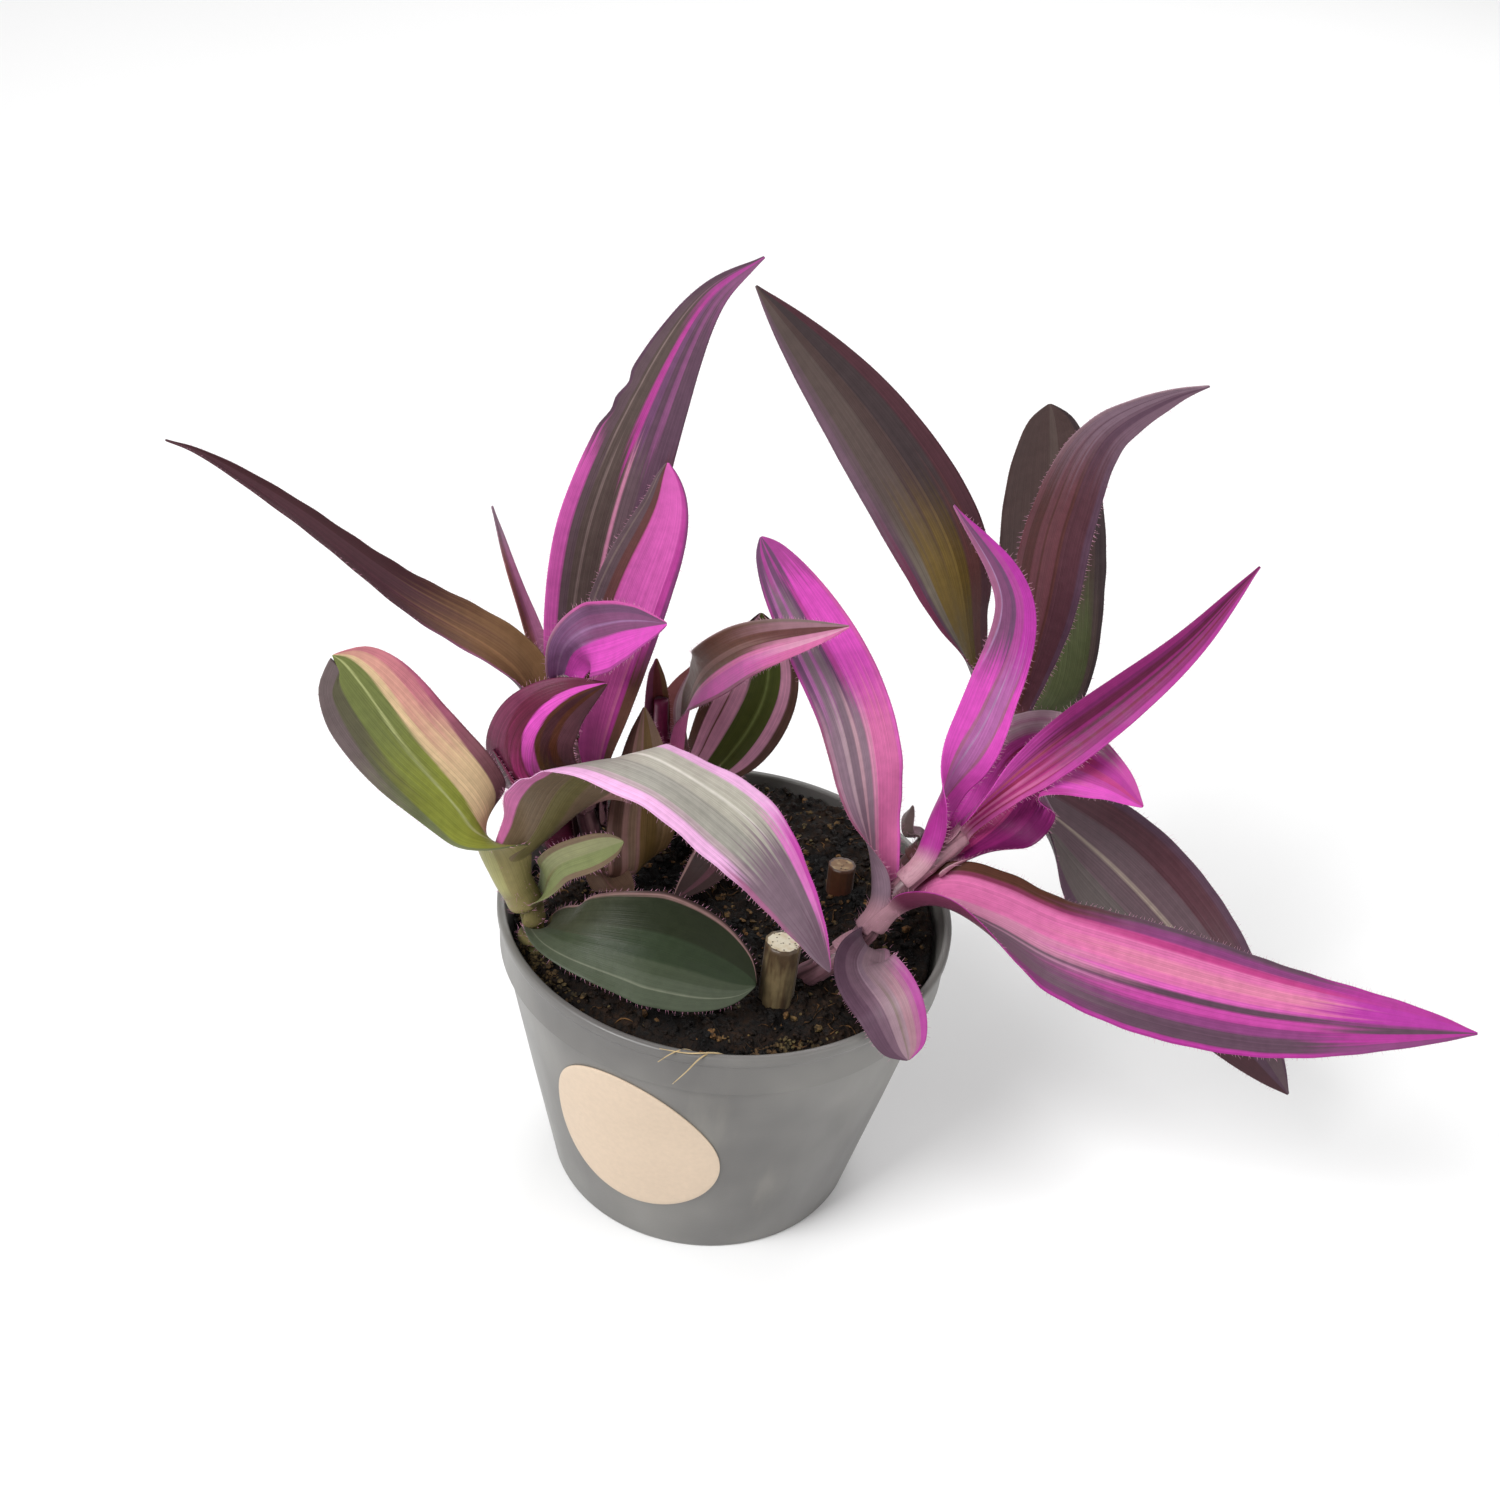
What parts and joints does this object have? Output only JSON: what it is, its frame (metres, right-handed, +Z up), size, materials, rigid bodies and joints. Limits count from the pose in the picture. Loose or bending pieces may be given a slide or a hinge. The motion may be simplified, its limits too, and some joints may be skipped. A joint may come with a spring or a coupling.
{
  "type": "potted tradescantia",
  "caption": "Striped purple, pink and green foliage plant with lance-shaped clasping leaves on short fleshy shoots, in a soil-filled tapered round nursery pot with a blank label.",
  "frame": {"origin": "centre of the flat underside of the pot's base, on the surface that the pot stands on", "axes": "+Z up along the pot's axis, +X towards the viewer's right along the plant's widest spread, -Y towards the viewer and the label"},
  "size_m": [0.3273, 0.1284, 0.2513],
  "materials": {
    "leaf_green": "satin, softly hairy",
    "leaf_silver": "satin, silvery grey",
    "leaf_dark": "satin, dark purple brown",
    "leaf_pink": "satin, magenta pink stripes",
    "leaf_striped": "satin, grey purple with pink stripes",
    "stem_green": "satin, fleshy",
    "stem_pink": "satin, fleshy",
    "cut_stem": "dull, ribbed",
    "soil": "damp, crumbly",
    "pot": "satin",
    "label": "blank, matt"
  },
  "bodies": {
    "root": {"left_leaf_1": "leaf_green", "left_leaf_2": "leaf_silver", "left_leaf_3": "leaf_green", "left_leaf_4": "leaf_green", "middle_leaf_1": "leaf_dark", "middle_leaf_2": "leaf_dark", "middle_leaf_3": "leaf_striped", "middle_leaf_4": "leaf_pink", "middle_leaf_5": "leaf_striped", "middle_leaf_6": "leaf_dark", "middle_leaf_7": "leaf_dark", "base_leaf_1": "leaf_striped", "base_leaf_2": "leaf_striped", "base_leaf_3": "leaf_dark", "back_leaf_1": "leaf_striped", "back_leaf_2": "leaf_striped", "back_leaf_3": "leaf_green", "back_leaf_4": "leaf_striped", "right_leaf_1": "leaf_striped", "right_leaf_2": "leaf_pink", "right_leaf_3": "leaf_pink", "right_leaf_4": "leaf_pink", "right_leaf_5": "leaf_pink", "right_leaf_6": "leaf_striped", "rear_leaf_1": "leaf_dark", "rear_leaf_2": "leaf_dark", "rear_leaf_3": "leaf_green", "rear_leaf_4": "leaf_dark", "rear_leaf_5": "leaf_green", "left_stem": "stem_green", "middle_stem": "stem_pink", "back_stem": "stem_pink", "right_stem": "stem_pink", "rear_stem": "stem_pink", "cut_stem_1": "cut_stem", "cut_stem_2": "cut_stem", "soil": "soil", "pot": "pot", "label": "label"}
  },
  "joints": []
}
